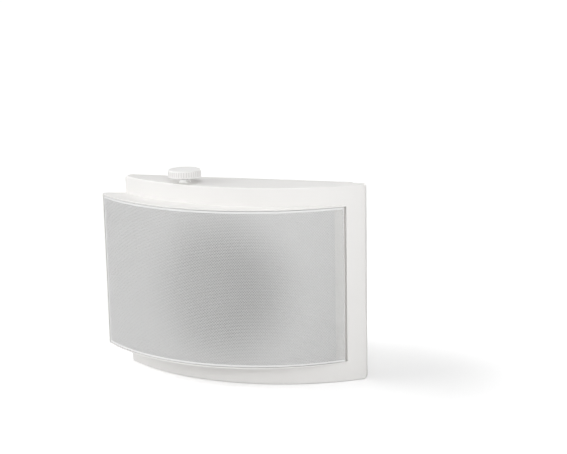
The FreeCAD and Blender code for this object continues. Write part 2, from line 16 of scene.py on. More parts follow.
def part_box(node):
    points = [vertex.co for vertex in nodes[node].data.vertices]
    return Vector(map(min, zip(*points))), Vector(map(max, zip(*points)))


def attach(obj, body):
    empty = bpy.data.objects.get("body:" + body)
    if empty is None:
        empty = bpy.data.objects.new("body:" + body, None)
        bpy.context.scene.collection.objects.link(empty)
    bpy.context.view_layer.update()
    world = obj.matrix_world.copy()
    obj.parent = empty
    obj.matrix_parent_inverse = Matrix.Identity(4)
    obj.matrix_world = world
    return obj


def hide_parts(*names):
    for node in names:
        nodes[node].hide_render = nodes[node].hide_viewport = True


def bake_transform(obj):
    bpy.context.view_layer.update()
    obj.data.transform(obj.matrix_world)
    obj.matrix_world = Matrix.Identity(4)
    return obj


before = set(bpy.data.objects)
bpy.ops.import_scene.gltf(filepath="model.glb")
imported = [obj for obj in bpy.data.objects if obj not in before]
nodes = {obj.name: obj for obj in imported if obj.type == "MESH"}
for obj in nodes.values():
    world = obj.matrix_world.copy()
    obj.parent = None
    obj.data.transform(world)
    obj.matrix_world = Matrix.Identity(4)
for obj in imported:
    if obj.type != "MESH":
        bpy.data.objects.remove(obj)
scene = bpy.context.scene
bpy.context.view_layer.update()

# %% [markdown]
# The new pieces follow the same arcs as the solids, so the few sizes that they share are written
# here once, in metres. The grille is bent on an upright axis, and everything in the driver is
# turned about a level axis that runs from front to back.

# %% Sizes shared with the solids
mm = 0.001
frame_axis = Vector((-15.0, 124.649, 95.0)) * mm
sheet_radius = 185.6 * mm
sheet_thickness = 0.8 * mm
sheet_left, sheet_right = -142.5 * mm, 103.4 * mm
sheet_half_height = 74.8 * mm
driver_seat = Vector((-10.0, -42.0, 95.0)) * mm

# %% [markdown]
# The camera stands where the photograph was taken from. Its place, angles and focal length were
# worked out from the corners and curved edges of the housing, so straight lines in the render run
# as they do there. The focal length is in pixels of a frame 567 wide, and the sensor is the usual
# 36 mm.

# %% Camera
eye = Vector((416.54, -1223.13, 420.22)) * mm
eye_angles = (17.153, 12.168, -1.0838)
focal_pixels, frame_pixels = 1365.52, 567
sensor_mm = 36.0


def photo_camera():
    """Camera at the eye, turned by its azimuth, elevation and roll."""
    azimuth, elevation, roll = (math.radians(angle) for angle in eye_angles)
    flat = math.cos(elevation)
    back = Vector((math.sin(azimuth) * flat, -math.cos(azimuth) * flat, math.sin(elevation)))
    level = Vector((math.cos(azimuth), math.sin(azimuth), 0))
    upward = back.cross(level)
    right = math.cos(roll) * level + math.sin(roll) * upward
    up = math.cos(roll) * upward - math.sin(roll) * level
    data = bpy.data.cameras.new("photo_camera")
    data.sensor_fit = "HORIZONTAL"
    data.sensor_width = sensor_mm
    data.lens = focal_pixels * sensor_mm / frame_pixels
    data.clip_start, data.clip_end = 0.05, 60.0
    camera = bpy.data.objects.new("photo_camera", data)
    turn = Matrix((right, up, back)).transposed().to_4x4()
    camera.matrix_world = Matrix.Translation(eye) @ turn
    scene.collection.objects.link(camera)
    return camera


scene.camera = photo_camera()
print("lens", round(scene.camera.data.lens, 2), "mm")

# %% [markdown]
# Every finish here is built from a few effects, and an effect that several finishes share is one
# node group. The first is the skin of a moulding: a very fine grain from the tool, and a slow
# drift of tone over tens of millimetres. It reads Object coordinates, which are metres, so a
# scale of 2000 gives half-millimetre grains.

# %% Helpers for node trees
def add(tree, kind, **inputs):
    """One node, with its inputs set by socket name."""
    node = tree.nodes.new(kind)
    for socket, value in inputs.items():
        node.inputs[socket.replace("_", " ")].default_value = value
    return node


def new_group(name, inputs, outputs):
    """Empty shader group with a vector input, named number inputs and named number outputs."""
    group = bpy.data.node_groups.new(name, "ShaderNodeTree")
    group.interface.new_socket("Vector", in_out="INPUT", socket_type="NodeSocketVector")
    for label, value in inputs.items():
        socket = group.interface.new_socket(label, in_out="INPUT", socket_type="NodeSocketFloat")
        socket.default_value = value
    for label in outputs:
        group.interface.new_socket(label, in_out="OUTPUT", socket_type="NodeSocketFloat")
    return group, group.nodes.new("NodeGroupInput"), group.nodes.new("NodeGroupOutput")


# %% Moulded grain
cell_share = 0.45


def moulded_grain_group():
    group, source, result = new_group("moulded_grain", {"Grain Scale": 1800.0, "Cloud Scale": 16.0},
                                      ("Grain", "Cloud", "Height"))
    fine = add(group, "ShaderNodeTexNoise", Detail=2.0, Roughness=0.6)
    slow = add(group, "ShaderNodeTexNoise", Detail=3.0, Roughness=0.55)
    cells = add(group, "ShaderNodeTexVoronoi")
    mix = group.nodes.new("ShaderNodeMath")
    mix.operation = "MULTIPLY_ADD"
    mix.inputs[1].default_value = cell_share
    for node, scale in ((fine, "Grain Scale"), (cells, "Grain Scale"), (slow, "Cloud Scale")):
        group.links.new(source.outputs["Vector"], node.inputs["Vector"])
        group.links.new(source.outputs[scale], node.inputs["Scale"])
    group.links.new(cells.outputs["Distance"], mix.inputs[0])
    group.links.new(fine.outputs["Fac"], mix.inputs[2])
    group.links.new(fine.outputs["Fac"], result.inputs["Grain"])
    group.links.new(slow.outputs["Fac"], result.inputs["Cloud"])
    group.links.new(mix.outputs[0], result.inputs["Height"])
    return group


moulded_grain = moulded_grain_group()
print(moulded_grain.name, [s.name for s in moulded_grain.interface.items_tree])

# %% [markdown]
# Plated steel and turned parts show fine lines along one direction. A noise that is stretched by
# a Mapping node gives them, and the same noise at low strength serves as bump.

# %% Drawn metal lines
def drawn_lines_group():
    group, source, result = new_group("drawn_lines", {"Line Scale": 900.0, "Cloud Scale": 120.0},
                                      ("Grain", "Cloud", "Height"))
    stretch = add(group, "ShaderNodeMapping", Scale=(1.0, 0.06, 1.0))
    lines = add(group, "ShaderNodeTexNoise", Detail=2.0)
    slow = add(group, "ShaderNodeTexNoise", Detail=2.0)
    group.links.new(source.outputs["Vector"], stretch.inputs["Vector"])
    group.links.new(stretch.outputs["Vector"], lines.inputs["Vector"])
    group.links.new(source.outputs["Vector"], slow.inputs["Vector"])
    group.links.new(source.outputs["Line Scale"], lines.inputs["Scale"])
    group.links.new(source.outputs["Cloud Scale"], slow.inputs["Scale"])
    group.links.new(lines.outputs["Fac"], result.inputs["Grain"])
    group.links.new(slow.outputs["Fac"], result.inputs["Cloud"])
    group.links.new(lines.outputs["Fac"], result.inputs["Height"])
    return group


drawn_lines = drawn_lines_group()
print(drawn_lines.name)

# %% [markdown]
# Cone paper, the dipped cloth of the spider and the dust cloth are fibrous. Two crossed wave
# patterns with some noise in their phase look like threads at the cloth's scale and like pressed
# pulp at the paper's.

# %% Fibre weave
def fibre_weave_group():
    group, source, result = new_group("fibre_weave", {"Thread Scale": 700.0, "Cloud Scale": 60.0},
                                      ("Grain", "Cloud", "Height"))
    crossing = group.nodes.new("ShaderNodeMath")
    crossing.operation = "MAXIMUM"
    slow = add(group, "ShaderNodeTexNoise", Detail=4.0)
    group.links.new(source.outputs["Vector"], slow.inputs["Vector"])
    group.links.new(source.outputs["Cloud Scale"], slow.inputs["Scale"])
    for index, direction in enumerate(("X", "Z")):
        wave = add(group, "ShaderNodeTexWave", Distortion=2.5, Detail=2.0, Detail_Scale=1.5)
        wave.wave_type = "BANDS"
        wave.bands_direction = direction
        group.links.new(source.outputs["Vector"], wave.inputs["Vector"])
        group.links.new(source.outputs["Thread Scale"], wave.inputs["Scale"])
        group.links.new(wave.outputs["Fac"], crossing.inputs[index])
    group.links.new(crossing.outputs[0], result.inputs["Grain"])
    group.links.new(slow.outputs["Fac"], result.inputs["Cloud"])
    group.links.new(crossing.outputs[0], result.inputs["Height"])
    return group


fibre_weave = fibre_weave_group()
print(fibre_weave.name)

# %% [markdown]
# One function turns an effect into a finish. The slow cloud moves the colour between two near
# tones, the grain moves the roughness, and the height drives a bump. What is the same all over,
# such as the metal value, is set straight on the shader.

# %% Finish from an effect
def finish(name, effect, tones, rough, scales, bump, metallic=0.0, specular=0.5):
    """Material whose colour, roughness and bump come from a shared effect."""
    material = bpy.data.materials.new(name)
    material.use_nodes = True
    tree = material.node_tree
    shader = tree.nodes["Principled BSDF"]
    shader.inputs["Metallic"].default_value = metallic
    shader.inputs["Specular IOR Level"].default_value = specular
    place = tree.nodes.new("ShaderNodeTexCoord")
    pattern = tree.nodes.new("ShaderNodeGroup")
    pattern.node_tree = effect
    pattern.inputs[1].default_value, pattern.inputs[2].default_value = scales
    tone = tree.nodes.new("ShaderNodeMix")
    tone.data_type = "RGBA"
    spread = add(tree, "ShaderNodeMapRange", To_Min=rough[0], To_Max=rough[1])
    relief = add(tree, "ShaderNodeBump", Strength=bump[0], Distance=bump[1])
    colour_in = [s for s in tone.inputs if s.type == "RGBA"]
    colour_in[0].default_value = (*tones[0], 1.0)
    colour_in[1].default_value = (*tones[1], 1.0)
    colour_out = [s for s in tone.outputs if s.type == "RGBA"][0]
    tree.links.new(place.outputs["Object"], pattern.inputs["Vector"])
    tree.links.new(pattern.outputs["Cloud"], tone.inputs["Factor"])
    tree.links.new(colour_out, shader.inputs["Base Color"])
    tree.links.new(pattern.outputs["Grain"], spread.inputs["Value"])
    tree.links.new(spread.outputs["Result"], shader.inputs["Roughness"])
    tree.links.new(pattern.outputs["Height"], relief.inputs["Height"])
    tree.links.new(relief.outputs["Normal"], shader.inputs["Normal"])
    return material


# %% [markdown]
# The housing, cover and knob are white mouldings with a fine matt texture. White plastic is never
# pure white: its tones lie a little over eight tenths and are a trace warm. The grille is white
# powder coat over steel, which looks greyer because its holes let the eye through.

# %% White finishes
housing_white = finish(
    "housing_white", moulded_grain, tones=((0.805, 0.795, 0.78), (0.835, 0.825, 0.81)),
    rough=(0.42, 0.56), scales=(1900.0, 14.0), bump=(0.12, 0.00012))
knob_white = finish(
    "knob_white", moulded_grain, tones=((0.85, 0.842, 0.83), (0.875, 0.867, 0.855)),
    rough=(0.34, 0.46), scales=(2400.0, 40.0), bump=(0.08, 0.0001))
grille_white = finish(
    "grille_white", moulded_grain, tones=((0.785, 0.785, 0.781), (0.815, 0.815, 0.811)),
    rough=(0.4, 0.55), scales=(2600.0, 25.0), bump=(0.15, 0.00008))
print("white finishes", housing_white.name, knob_white.name, grille_white.name)

# %% [markdown]
# Behind the grille only the moving part of the driver is dark: black pulp for the cone and cap
# and rubber for the roll. The basket is dull zinc, the magnet ground ferrite, and plates, screws
# and control are plated.

# %% Dark and metal finishes
basket_zinc = finish(
    "basket_zinc", drawn_lines, tones=((0.46, 0.46, 0.46), (0.56, 0.56, 0.55)),
    rough=(0.42, 0.58), scales=(700.0, 90.0), bump=(0.05, 0.00005), metallic=1.0)
cone_pulp = finish(
    "cone_pulp", fibre_weave, tones=((0.022, 0.022, 0.024), (0.038, 0.037, 0.037)),
    rough=(0.7, 0.85), scales=(420.0, 90.0), bump=(0.3, 0.0002))
roll_rubber = finish(
    "roll_rubber", moulded_grain, tones=((0.015, 0.015, 0.016), (0.024, 0.024, 0.025)),
    rough=(0.5, 0.65), scales=(1200.0, 50.0), bump=(0.1, 0.0001))
gasket_foam = finish(
    "gasket_foam", moulded_grain, tones=((0.03, 0.03, 0.031), (0.05, 0.05, 0.05)),
    rough=(0.85, 0.95), scales=(1000.0, 80.0), bump=(0.6, 0.0003))
spider_cloth = finish(
    "spider_cloth", fibre_weave, tones=((0.4, 0.26, 0.1), (0.52, 0.36, 0.16)),
    rough=(0.65, 0.8), scales=(900.0, 50.0), bump=(0.5, 0.0002))
ferrite_grey = finish(
    "ferrite_grey", moulded_grain, tones=((0.05, 0.05, 0.053), (0.075, 0.075, 0.078)),
    rough=(0.45, 0.6), scales=(700.0, 60.0), bump=(0.35, 0.0003))
board_brown = finish(
    "board_brown", fibre_weave, tones=((0.2, 0.1, 0.04), (0.27, 0.15, 0.07)),
    rough=(0.4, 0.55), scales=(600.0, 70.0), bump=(0.1, 0.0001))
terminal_black = finish(
    "terminal_black", moulded_grain, tones=((0.03, 0.03, 0.032), (0.042, 0.042, 0.044)),
    rough=(0.35, 0.5), scales=(1600.0, 60.0), bump=(0.1, 0.0001))
zinc_plate = finish(
    "zinc_plate", drawn_lines, tones=((0.6, 0.6, 0.6), (0.7, 0.7, 0.69)),
    rough=(0.22, 0.38), scales=(1400.0, 150.0), bump=(0.05, 0.00005), metallic=1.0)
stem_plate = finish(
    "stem_plate", drawn_lines, tones=((0.84, 0.84, 0.83), (0.9, 0.9, 0.89)),
    rough=(0.28, 0.4), scales=(1400.0, 150.0), bump=(0.05, 0.00005), metallic=1.0)
control_plate = finish(
    "control_plate", drawn_lines, tones=((0.45, 0.45, 0.45), (0.55, 0.55, 0.54)),
    rough=(0.3, 0.45), scales=(900.0, 120.0), bump=(0.05, 0.00005), metallic=1.0)
former_foil = finish(
    "former_foil", drawn_lines, tones=((0.72, 0.72, 0.73), (0.8, 0.8, 0.81)),
    rough=(0.2, 0.32), scales=(1200.0, 150.0), bump=(0.04, 0.00005), metallic=1.0)
coil_copper = finish(
    "coil_copper", drawn_lines, tones=((0.6, 0.22, 0.08), (0.72, 0.3, 0.12)),
    rough=(0.25, 0.4), scales=(2500.0, 200.0), bump=(0.1, 0.00008), metallic=1.0)
tag_tin = finish(
    "tag_tin", drawn_lines, tones=((0.6, 0.5, 0.28), (0.72, 0.62, 0.38)),
    rough=(0.25, 0.4), scales=(1500.0, 300.0), bump=(0.05, 0.00005), metallic=1.0)
print("finishes", len(bpy.data.materials))

# %% [markdown]
# A dust cloth is glued to the back of the grille. It is thin, and its finish paints what would
# show through it: painted glow where the white baffle behind makes it pale, and painted shade
# where the dark cone shows through as a soft round. The painted tone rises with the distance from
# the driver's axis, over the width by which the gap behind the cloth blurs the cone's edge. Towards
# the right end, where the housing comes up close behind the cloth, painted shade darkens it again.

# %% Dust cloth finish
def dust_cloth(name, shade_over_cone, glow_over_baffle, glow, end, end_shade_share):
    """Cloth with painted glow and shade: tone rises between two radii, falls between two places
    along the grille.
    """
    material = finish(
        name, fibre_weave, tones=(shade_over_cone, glow_over_baffle),
        rough=(0.8, 0.95), scales=(1500.0, 30.0), bump=(0.4, 0.0001))
    tree = material.node_tree
    place = tree.nodes.new("ShaderNodeTexCoord")
    level = tree.nodes.new("ShaderNodeVectorMath")
    level.operation = "MULTIPLY"
    level.inputs[1].default_value = (1.0, 0.0, 1.0)
    span = tree.nodes.new("ShaderNodeVectorMath")
    span.operation = "DISTANCE"
    span.inputs[1].default_value = (driver_seat.x, 0.0, driver_seat.z)
    # Painted glow rises with the distance from the driver's axis; painted shade falls towards the
    # right end.
    rise = add(tree, "ShaderNodeMapRange", From_Min=glow[0], From_Max=glow[1])
    rise.interpolation_type = "SMOOTHSTEP"
    along = tree.nodes.new("ShaderNodeSeparateXYZ")
    fall = add(tree, "ShaderNodeMapRange", From_Min=end[0], From_Max=end[1], To_Min=1.0,
               To_Max=end_shade_share)
    both = tree.nodes.new("ShaderNodeMath")
    both.operation = "MULTIPLY"
    tree.links.new(place.outputs["Object"], level.inputs[0])
    tree.links.new(level.outputs["Vector"], span.inputs[0])
    tree.links.new(span.outputs["Value"], rise.inputs["Value"])
    tree.links.new(place.outputs["Object"], along.inputs[0])
    tree.links.new(along.outputs["X"], fall.inputs["Value"])
    tree.links.new(rise.outputs["Result"], both.inputs[0])
    tree.links.new(fall.outputs["Result"], both.inputs[1])
    tone = next(node for node in tree.nodes if node.bl_idname == "ShaderNodeMix")
    tree.links.new(both.outputs[0], tone.inputs["Factor"])
    upright = add(tree, "ShaderNodeMapping", Rotation=(math.radians(90), 0.0, 0.0))
    weave = next(node for node in tree.nodes if node.bl_idname == "ShaderNodeGroup")
    tree.links.new(place.outputs["UV"], upright.inputs["Vector"])
    tree.links.new(upright.outputs["Vector"], weave.inputs["Vector"])
    return material


scrim = dust_cloth(
    "dust_cloth", shade_over_cone=(0.24, 0.24, 0.24), glow_over_baffle=(0.72, 0.72, 0.72),
    glow=(27 * mm, 92 * mm), end=(60 * mm, 88 * mm), end_shade_share=0.9)
print("cloth", scrim.name)

# %% [markdown]
# The knob has forty shallow flutes round its side. The finish paints shade into them: it lowers its
# tone with the depth below the lands, where less light reaches the flute floors. The height limits
# keep the rounded top and the skirt clear of it.

# %% Painted shade in the knob's flutes
flute_start, flute_depth = 0.04 * mm, 0.4 * mm
flute_drop, flute_clear = 0.2 * mm, 1.1 * mm


def shade_flutes(material, knob, shade):
    """Painted shade: darker tone below the lands of a knob, between its rounded top and its skirt.
    """
    low, high = (Vector(corner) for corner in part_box(knob))
    middle, land = (low + high) / 2, (high.x - low.x) / 2
    tree = material.node_tree
    place = tree.nodes.new("ShaderNodeTexCoord")
    flat = tree.nodes.new("ShaderNodeVectorMath")
    flat.operation = "MULTIPLY"
    flat.inputs[1].default_value = (1.0, 1.0, 0.0)
    span = tree.nodes.new("ShaderNodeVectorMath")
    span.operation = "DISTANCE"
    span.inputs[1].default_value = (middle.x, middle.y, 0.0)
    deep = add(tree, "ShaderNodeMapRange", From_Min=land - flute_start, From_Max=land - flute_depth)
    level = tree.nodes.new("ShaderNodeSeparateXYZ")
    band = tree.nodes.new("ShaderNodeMath")
    band.operation = "COMPARE"
    band.inputs[1].default_value = middle.z - flute_drop
    band.inputs[2].default_value = (high.z - low.z) / 2 - flute_clear
    mask = tree.nodes.new("ShaderNodeMath")
    mask.operation = "MULTIPLY"
    # Painted shade in the flute floors.
    shaded = tree.nodes.new("ShaderNodeMix")
    shaded.data_type = "RGBA"
    colours = [s for s in shaded.inputs if s.type == "RGBA"]
    colours[1].default_value = (*shade, 1.0)
    base = tree.nodes["Principled BSDF"].inputs["Base Color"]
    tree.links.new(place.outputs["Object"], flat.inputs[0])
    tree.links.new(flat.outputs["Vector"], span.inputs[0])
    tree.links.new(span.outputs["Value"], deep.inputs["Value"])
    tree.links.new(place.outputs["Object"], level.inputs[0])
    tree.links.new(level.outputs["Z"], band.inputs[0])
    tree.links.new(deep.outputs["Result"], mask.inputs[0])
    tree.links.new(band.outputs[0], mask.inputs[1])
    tree.links.new(mask.outputs[0], shaded.inputs["Factor"])
    tree.links.new(base.links[0].from_socket, colours[0])
    tree.links.new([s for s in shaded.outputs if s.type == "RGBA"][0], base)


shade_flutes(knob_white, "volume_knob", shade=(0.73, 0.722, 0.71))
print("flutes shaded on", knob_white.name)

# %% [markdown]
# Each solid takes its finish through its own material slot. The solids keep their meshes, which
# are never edited here.

# %% Finishes on the solids
finish_of = {
    "front_housing": housing_white, "rear_cover": housing_white, "cover_screws": zinc_plate,
    "grille": grille_white, "grille_cloth": scrim,
    "volume_knob": knob_white, "control_shaft": stem_plate, "control_body": control_plate,
    "control_washer": stem_plate, "control_nut": stem_plate,
    "driver_basket": basket_zinc, "driver_gasket": gasket_foam, "driver_screws": zinc_plate,
    "cone": cone_pulp, "dust_cap": cone_pulp, "surround": roll_rubber, "spider": spider_cloth,
    "coil_former": former_foil, "voice_coil": coil_copper,
    "top_plate": zinc_plate, "magnet": ferrite_grey, "yoke": zinc_plate,
    "tag_strip": board_brown, "solder_tags": tag_tin,
    "terminal_block": terminal_black, "terminal_screws": tag_tin}
for name, node in nodes.items():
    node.data.materials.clear()
    node.data.materials.append(finish_of[name])
print("dressed", len(finish_of), "of", len(nodes))

# %% [markdown]
# The grille is one curved steel sheet with nearly eighteen thousand holes in staggered rows and a
# plain hem. Cutting holes with booleans would be slow. Instead one web tile, the metal between a
# hole and three of its neighbours, is made once, and Geometry Nodes set it on every hole centre,
# weld the tiles into one web, give the web its thickness and bend it. The holes have six sides,
# and the sheet is made as three lengths that meet on lines of bridges, which keeps each of them
# light.

# %% Hole pattern
angle_left, angle_right = (math.asin((x - frame_axis.x) / sheet_radius)
                           for x in (sheet_left, sheet_right))
arc_length = (angle_right - angle_left) * sheet_radius
hem_width, hem_right = 2.0 * mm, 0.35 * mm
margin_left, margin_right = 1.5 * mm, 1.75 * mm
margin_bottom, margin_top = 2.4 * mm, 2.6 * mm
hole_share = 0.8
lengths = ("grille_left", "grille_middle", "grille_right")
length_columns, rows = 56, 106
columns = length_columns * len(lengths)
first_column, last_column = -arc_length / 2 + margin_left, arc_length / 2 - margin_right
first_row, last_row = -sheet_half_height + margin_bottom, sheet_half_height - margin_top
hole_pitch = (last_column - first_column) / (columns - 1)
row_pitch = (last_row - first_row) / (rows - 1)
hole_width = hole_share * hole_pitch
pitches = [round(pitch * 1000, 3) for pitch in (hole_pitch, row_pitch)]
print("holes", columns * rows, "pitches in mm", pitches)

# %% Web tile between neighbouring holes
def web_tile():
    """Flat metal from one hole to its neighbours on the right, upper right and upper left."""
    corner = hole_width / 2 / math.cos(math.pi / 6)
    half_step = hole_pitch / 2
    neighbours = {0: (hole_pitch, 0.0), 2: (half_step, row_pitch), 4: (-half_step, row_pitch)}

    def at(step, neighbour=None):
        """Corner of a hole at step x 30 degrees, for this hole or for a neighbour."""
        angle = math.radians(30 * step)
        shift = neighbours.get(neighbour, (0.0, 0.0))
        return (shift[0] + corner * math.cos(angle), shift[1] + corner * math.sin(angle), 0.0)

    faces = [[at(way - 1), at(way + 7, way), at(way + 5, way), at(way + 1)] for way in (0, 2, 4)]
    faces += [[at(way + 1), at(way + 5, way), at(way + 9, way + 2)] for way in (0, 2)]
    points = [spot for face in faces for spot in face]
    count = iter(range(len(points)))
    numbers = [[next(count) for spot in face] for face in faces]
    mesh = bpy.data.meshes.new("web_tile")
    mesh.from_pydata(points, [], numbers)
    return bpy.data.objects.new("web_tile", mesh)


tile = web_tile()
print("tile faces", len(tile.data.polygons))

# %% [markdown]
# The hem and the two folded flanges are plain bars, so they are drawn in mesh code, in the
# sheet's own coordinates: u along the arc, v up, and w out of the front. One rule bends them on
# the frame's arc. The hem stands a hair proud of the web on both sides and covers its ragged
# border.

# %% Hem and flanges of the grille
angle_middle = (angle_left + angle_right) / 2
hem_proud = 0.03 * mm
flange_depth = 3.0 * mm
flange_left, flange_right = 7 * mm, 36 * mm
bar_step = 2.5 * mm


def bend(u, v, w):
    """From the flat sheet to its place on the frame's arc."""
    angle = angle_middle + u / sheet_radius
    radius = sheet_radius + w
    return Vector((frame_axis.x + radius * math.sin(angle), frame_axis.y - radius * math.cos(angle),
                   frame_axis.z + v))


def bar(shape, u0, u1, v0, v1, w0, w1):
    """Closed bar in sheet coordinates, with enough steps along the arc to bend smoothly."""
    steps = max(1, round((u1 - u0) / bar_step))
    section = ((v0, w0), (v1, w0), (v1, w1), (v0, w1))
    rings = []
    for index in range(steps + 1):
        u = u0 + (u1 - u0) * index / steps
        rings.append([shape.verts.new(bend(u, v, w)) for v, w in section])
    for a, b in zip(rings, rings[1:]):
        for side in range(4):
            after = (side + 1) % 4
            shape.faces.new((a[side], a[after], b[after], b[side]))
    shape.faces.new(rings[0][::-1])
    shape.faces.new(rings[-1])


def grille_border(name, place):
    """Hem and flanges of one length of the sheet, by its place from the left."""
    shape = bmesh.new()
    half_arc, half_high = arc_length / 2, sheet_half_height
    back, proud = -sheet_thickness - hem_proud, hem_proud
    ends = [-half_arc + arc_length * step / len(lengths) for step in (place, place + 1)]
    fold = max(ends[0], -half_arc + flange_left), min(ends[1], half_arc - flange_right)
    for edge in (-1, 1):
        across = sorted((edge * half_high, edge * (half_high - hem_width)))
        folded = sorted((edge * half_high, edge * (half_high - sheet_thickness)))
        bar(shape, *ends, *across, back, proud)
        bar(shape, *fold, *folded, -flange_depth, back)
    end_hems = {0: (-half_arc, -half_arc + hem_width),
                len(lengths) - 1: (half_arc - hem_right, half_arc)}
    if place in end_hems:
        bar(shape, *end_hems[place], -half_high + hem_width, half_high - hem_width, back, proud)
    bmesh.ops.recalc_face_normals(shape, faces=shape.faces)
    mesh = bpy.data.meshes.new(name)
    shape.to_mesh(mesh)
    shape.free()
    piece = bpy.data.objects.new(name, mesh)
    scene.collection.objects.link(piece)
    return piece


grille = [grille_border(name, place) for place, name in enumerate(lengths)]
print("arc in mm", round(arc_length * 1000, 2))
print("border faces", [len(piece.data.polygons) for piece in grille])

# %% [markdown]
# The tree makes a grid of hole centres, pushes every second row half a pitch along, sets the tile
# on each centre, welds the tiles, thickens the web by an extrusion with a flipped copy as its
# back, and bends all of it by the same rule as the hem. Sizes are named inputs, and they are set
# on the modifier by the sockets' identifiers before the first evaluation.

# %% Geometry Nodes tree for the web
weld_reach = 0.05 * mm


def web_tree():
    """Tree that sets, welds, thickens and bends the tiles, with its inputs' identifiers by name."""
    tree = bpy.data.node_groups.new("perforated_web", "GeometryNodeTree")
    kinds = {"Geometry": "Geometry", "Tile": "Object", "Finish": "Material",
             "Columns": "Int", "Rows": "Int", "Pitch": "Float", "Row Pitch": "Float",
             "Thickness": "Float", "Radius": "Float", "Shift": "Vector",
             "Middle Angle": "Float", "Axis": "Vector"}
    sockets = {}
    for label, kind in kinds.items():
        kind = "NodeSocket" + kind
        sockets[label] = tree.interface.new_socket(label, in_out="INPUT", socket_type=kind)
    tree.interface.new_socket("Geometry", in_out="OUTPUT", socket_type="NodeSocketGeometry")
    source, result = tree.nodes.new("NodeGroupInput"), tree.nodes.new("NodeGroupOutput")
    link = tree.links.new

    def math_node(operation, *values):
        """Math node fed by sockets or plain numbers."""
        node = tree.nodes.new("ShaderNodeMath")
        node.operation = operation
        for index, value in enumerate(values):
            if isinstance(value, (int, float)):
                node.inputs[index].default_value = value
            else:
                link(value, node.inputs[index])
        return node.outputs[0]

    def spot():
        """Position, taken apart."""
        node = tree.nodes.new("ShaderNodeSeparateXYZ")
        link(tree.nodes.new("GeometryNodeInputPosition").outputs[0], node.inputs[0])
        return node.outputs

    pitch, row_step = source.outputs["Pitch"], source.outputs["Row Pitch"]
    thickness, arc_radius = source.outputs["Thickness"], source.outputs["Radius"]
    height = math_node("MULTIPLY", math_node("SUBTRACT", source.outputs["Rows"], 1), row_step)
    width = math_node("MULTIPLY", math_node("SUBTRACT", source.outputs["Columns"], 1), pitch)
    grid = tree.nodes.new("GeometryNodeMeshGrid")
    link(width, grid.inputs["Size X"])
    link(height, grid.inputs["Size Y"])
    link(source.outputs["Columns"], grid.inputs["Vertices X"])
    link(source.outputs["Rows"], grid.inputs["Vertices Y"])
    from_bottom = math_node("MULTIPLY_ADD", height, 0.5, spot()["Y"])
    odd = math_node("MODULO", math_node("ROUND", math_node("DIVIDE", from_bottom, row_step)), 2)
    push = tree.nodes.new("ShaderNodeCombineXYZ")
    link(math_node("MULTIPLY", math_node("MULTIPLY", odd, pitch), 0.5), push.inputs["X"])
    offset = tree.nodes.new("ShaderNodeVectorMath")
    link(push.outputs[0], offset.inputs[0])
    link(source.outputs["Shift"], offset.inputs[1])
    stagger = tree.nodes.new("GeometryNodeSetPosition")
    link(grid.outputs["Mesh"], stagger.inputs["Geometry"])
    link(offset.outputs[0], stagger.inputs["Offset"])
    tile_info = tree.nodes.new("GeometryNodeObjectInfo")
    link(source.outputs["Tile"], tile_info.inputs["Object"])
    scatter = tree.nodes.new("GeometryNodeInstanceOnPoints")
    link(stagger.outputs[0], scatter.inputs["Points"])
    link(tile_info.outputs["Geometry"], scatter.inputs["Instance"])
    whole = tree.nodes.new("GeometryNodeRealizeInstances")
    link(scatter.outputs[0], whole.inputs[0])
    weld = add(tree, "GeometryNodeMergeByDistance", Distance=weld_reach)
    link(whole.outputs[0], weld.inputs["Geometry"])
    thicken = tree.nodes.new("GeometryNodeExtrudeMesh")
    thicken.inputs["Individual"].default_value = False
    outward = tree.nodes.new("ShaderNodeCombineXYZ")
    link(thickness, outward.inputs["Z"])
    link(weld.outputs[0], thicken.inputs["Mesh"])
    link(outward.outputs[0], thicken.inputs["Offset"])
    flip = tree.nodes.new("GeometryNodeFlipFaces")
    link(weld.outputs[0], flip.inputs["Mesh"])
    both = tree.nodes.new("GeometryNodeJoinGeometry")
    link(thicken.outputs["Mesh"], both.inputs[0])
    link(flip.outputs["Mesh"], both.inputs[0])
    close = add(tree, "GeometryNodeMergeByDistance", Distance=weld_reach)
    link(both.outputs[0], close.inputs["Geometry"])
    flat = spot()
    axis = tree.nodes.new("ShaderNodeSeparateXYZ")
    link(source.outputs["Axis"], axis.inputs[0])
    turned = math_node("DIVIDE", flat["X"], arc_radius)
    angle = math_node("ADD", turned, source.outputs["Middle Angle"])
    radius = math_node("ADD", arc_radius, math_node("SUBTRACT", flat["Z"], thickness))
    sine, cosine = math_node("SINE", angle), math_node("COSINE", angle)
    bent = tree.nodes.new("ShaderNodeCombineXYZ")
    link(math_node("MULTIPLY_ADD", radius, sine, axis.outputs["X"]), bent.inputs["X"])
    forward = math_node("MULTIPLY", radius, cosine)
    link(math_node("SUBTRACT", axis.outputs["Y"], forward), bent.inputs["Y"])
    link(math_node("ADD", flat["Y"], axis.outputs["Z"]), bent.inputs["Z"])
    curve = tree.nodes.new("GeometryNodeSetPosition")
    link(close.outputs[0], curve.inputs["Geometry"])
    link(bent.outputs[0], curve.inputs["Position"])
    joined = tree.nodes.new("GeometryNodeJoinGeometry")
    link(curve.outputs[0], joined.inputs[0])
    link(source.outputs["Geometry"], joined.inputs[0])
    last = tree.nodes.new("GeometryNodeRealizeInstances")
    link(joined.outputs[0], last.inputs[0])
    coat = tree.nodes.new("GeometryNodeSetMaterial")
    link(last.outputs[0], coat.inputs["Geometry"])
    link(source.outputs["Finish"], coat.inputs["Material"])
    link(coat.outputs[0], result.inputs[0])
    return tree, {label: socket.identifier for label, socket in sockets.items()}


# %% Web on every length
def bake(piece, modifier):
    """Evaluated shape of a piece as a plain mesh, with the modifier taken off."""
    depsgraph = bpy.context.evaluated_depsgraph_get()
    mesh = bpy.data.meshes.new_from_object(piece.evaluated_get(depsgraph))
    piece.modifiers.remove(modifier)
    piece.data = mesh
    mesh.name = piece.name


